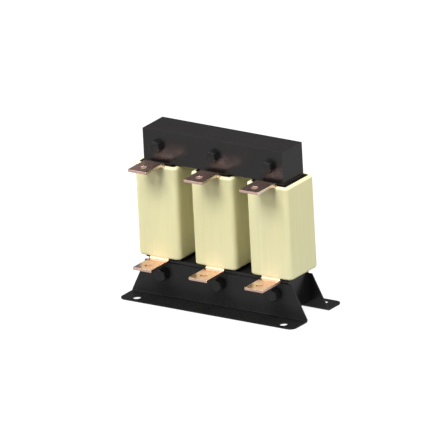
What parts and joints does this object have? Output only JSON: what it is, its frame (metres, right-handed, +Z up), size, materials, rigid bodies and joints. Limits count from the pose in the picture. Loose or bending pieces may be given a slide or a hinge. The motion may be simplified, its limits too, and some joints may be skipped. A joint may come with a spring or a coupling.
{
  "type": "three-phase line reactor",
  "caption": "Open line filter choke: laminated steel core with wrapped coils side by side, bent copper terminal tongues with holes, and folded foot brackets with slots.",
  "frame": {"origin": "in the mounting plane, at the middle of the four foot slots, under the middle limb", "axes": "+X along the row of coils, -Y towards the terminal side (front), +Z up"},
  "size_m": [0.238, 0.1146, 0.2],
  "materials": {
    "core_steel": "satin black varnish over stacked electrical steel sheets",
    "bracket_steel": "satin black paint on folded sheet steel",
    "spacer_board": "matt glass laminate",
    "former_board": "matt black moulded former",
    "winding_copper": "copper foil",
    "coil_insulation": "satin cream insulating wrap",
    "terminal_copper": "bright bare copper bar",
    "black_fasteners": "black oxide steel",
    "sleeve_plastic": "matt insulating tube"
  },
  "bodies": {
    "root": {"lower_yoke": "core_steel", "upper_yoke": "core_steel", "front_foot_bracket": "bracket_steel", "rear_foot_bracket": "bracket_steel", "lower_gap_spacer_left": "spacer_board", "core_limb_left": "core_steel", "upper_gap_spacer_left": "spacer_board", "coil_former_left": "former_board", "winding_left": "winding_copper", "coil_wrap_left": "coil_insulation", "upper_terminal_left": "terminal_copper", "lower_terminal_left": "terminal_copper", "upper_bolt_left": "black_fasteners", "upper_nut_left": "black_fasteners", "upper_front_washer_left": "black_fasteners", "upper_rear_washer_left": "black_fasteners", "upper_bolt_sleeve_left": "sleeve_plastic", "lower_bolt_left": "black_fasteners", "lower_nut_left": "black_fasteners", "lower_front_washer_left": "black_fasteners", "lower_rear_washer_left": "black_fasteners", "lower_bolt_sleeve_left": "sleeve_plastic", "lower_gap_spacer_center": "spacer_board", "core_limb_center": "core_steel", "upper_gap_spacer_center": "spacer_board", "coil_former_center": "former_board", "winding_center": "winding_copper", "coil_wrap_center": "coil_insulation", "upper_terminal_center": "terminal_copper", "lower_terminal_center": "terminal_copper", "upper_bolt_center": "black_fasteners", "upper_nut_center": "black_fasteners", "upper_front_washer_center": "black_fasteners", "upper_rear_washer_center": "black_fasteners", "upper_bolt_sleeve_center": "sleeve_plastic", "lower_bolt_center": "black_fasteners", "lower_nut_center": "black_fasteners", "lower_front_washer_center": "black_fasteners", "lower_rear_washer_center": "black_fasteners", "lower_bolt_sleeve_center": "sleeve_plastic", "lower_gap_spacer_right": "spacer_board", "core_limb_right": "core_steel", "upper_gap_spacer_right": "spacer_board", "coil_former_right": "former_board", "winding_right": "winding_copper", "coil_wrap_right": "coil_insulation", "upper_terminal_right": "terminal_copper", "lower_terminal_right": "terminal_copper", "upper_bolt_right": "black_fasteners", "upper_nut_right": "black_fasteners", "upper_front_washer_right": "black_fasteners", "upper_rear_washer_right": "black_fasteners", "upper_bolt_sleeve_right": "sleeve_plastic", "lower_bolt_right": "black_fasteners", "lower_nut_right": "black_fasteners", "lower_front_washer_right": "black_fasteners", "lower_rear_washer_right": "black_fasteners", "lower_bolt_sleeve_right": "sleeve_plastic"}
  },
  "joints": []
}
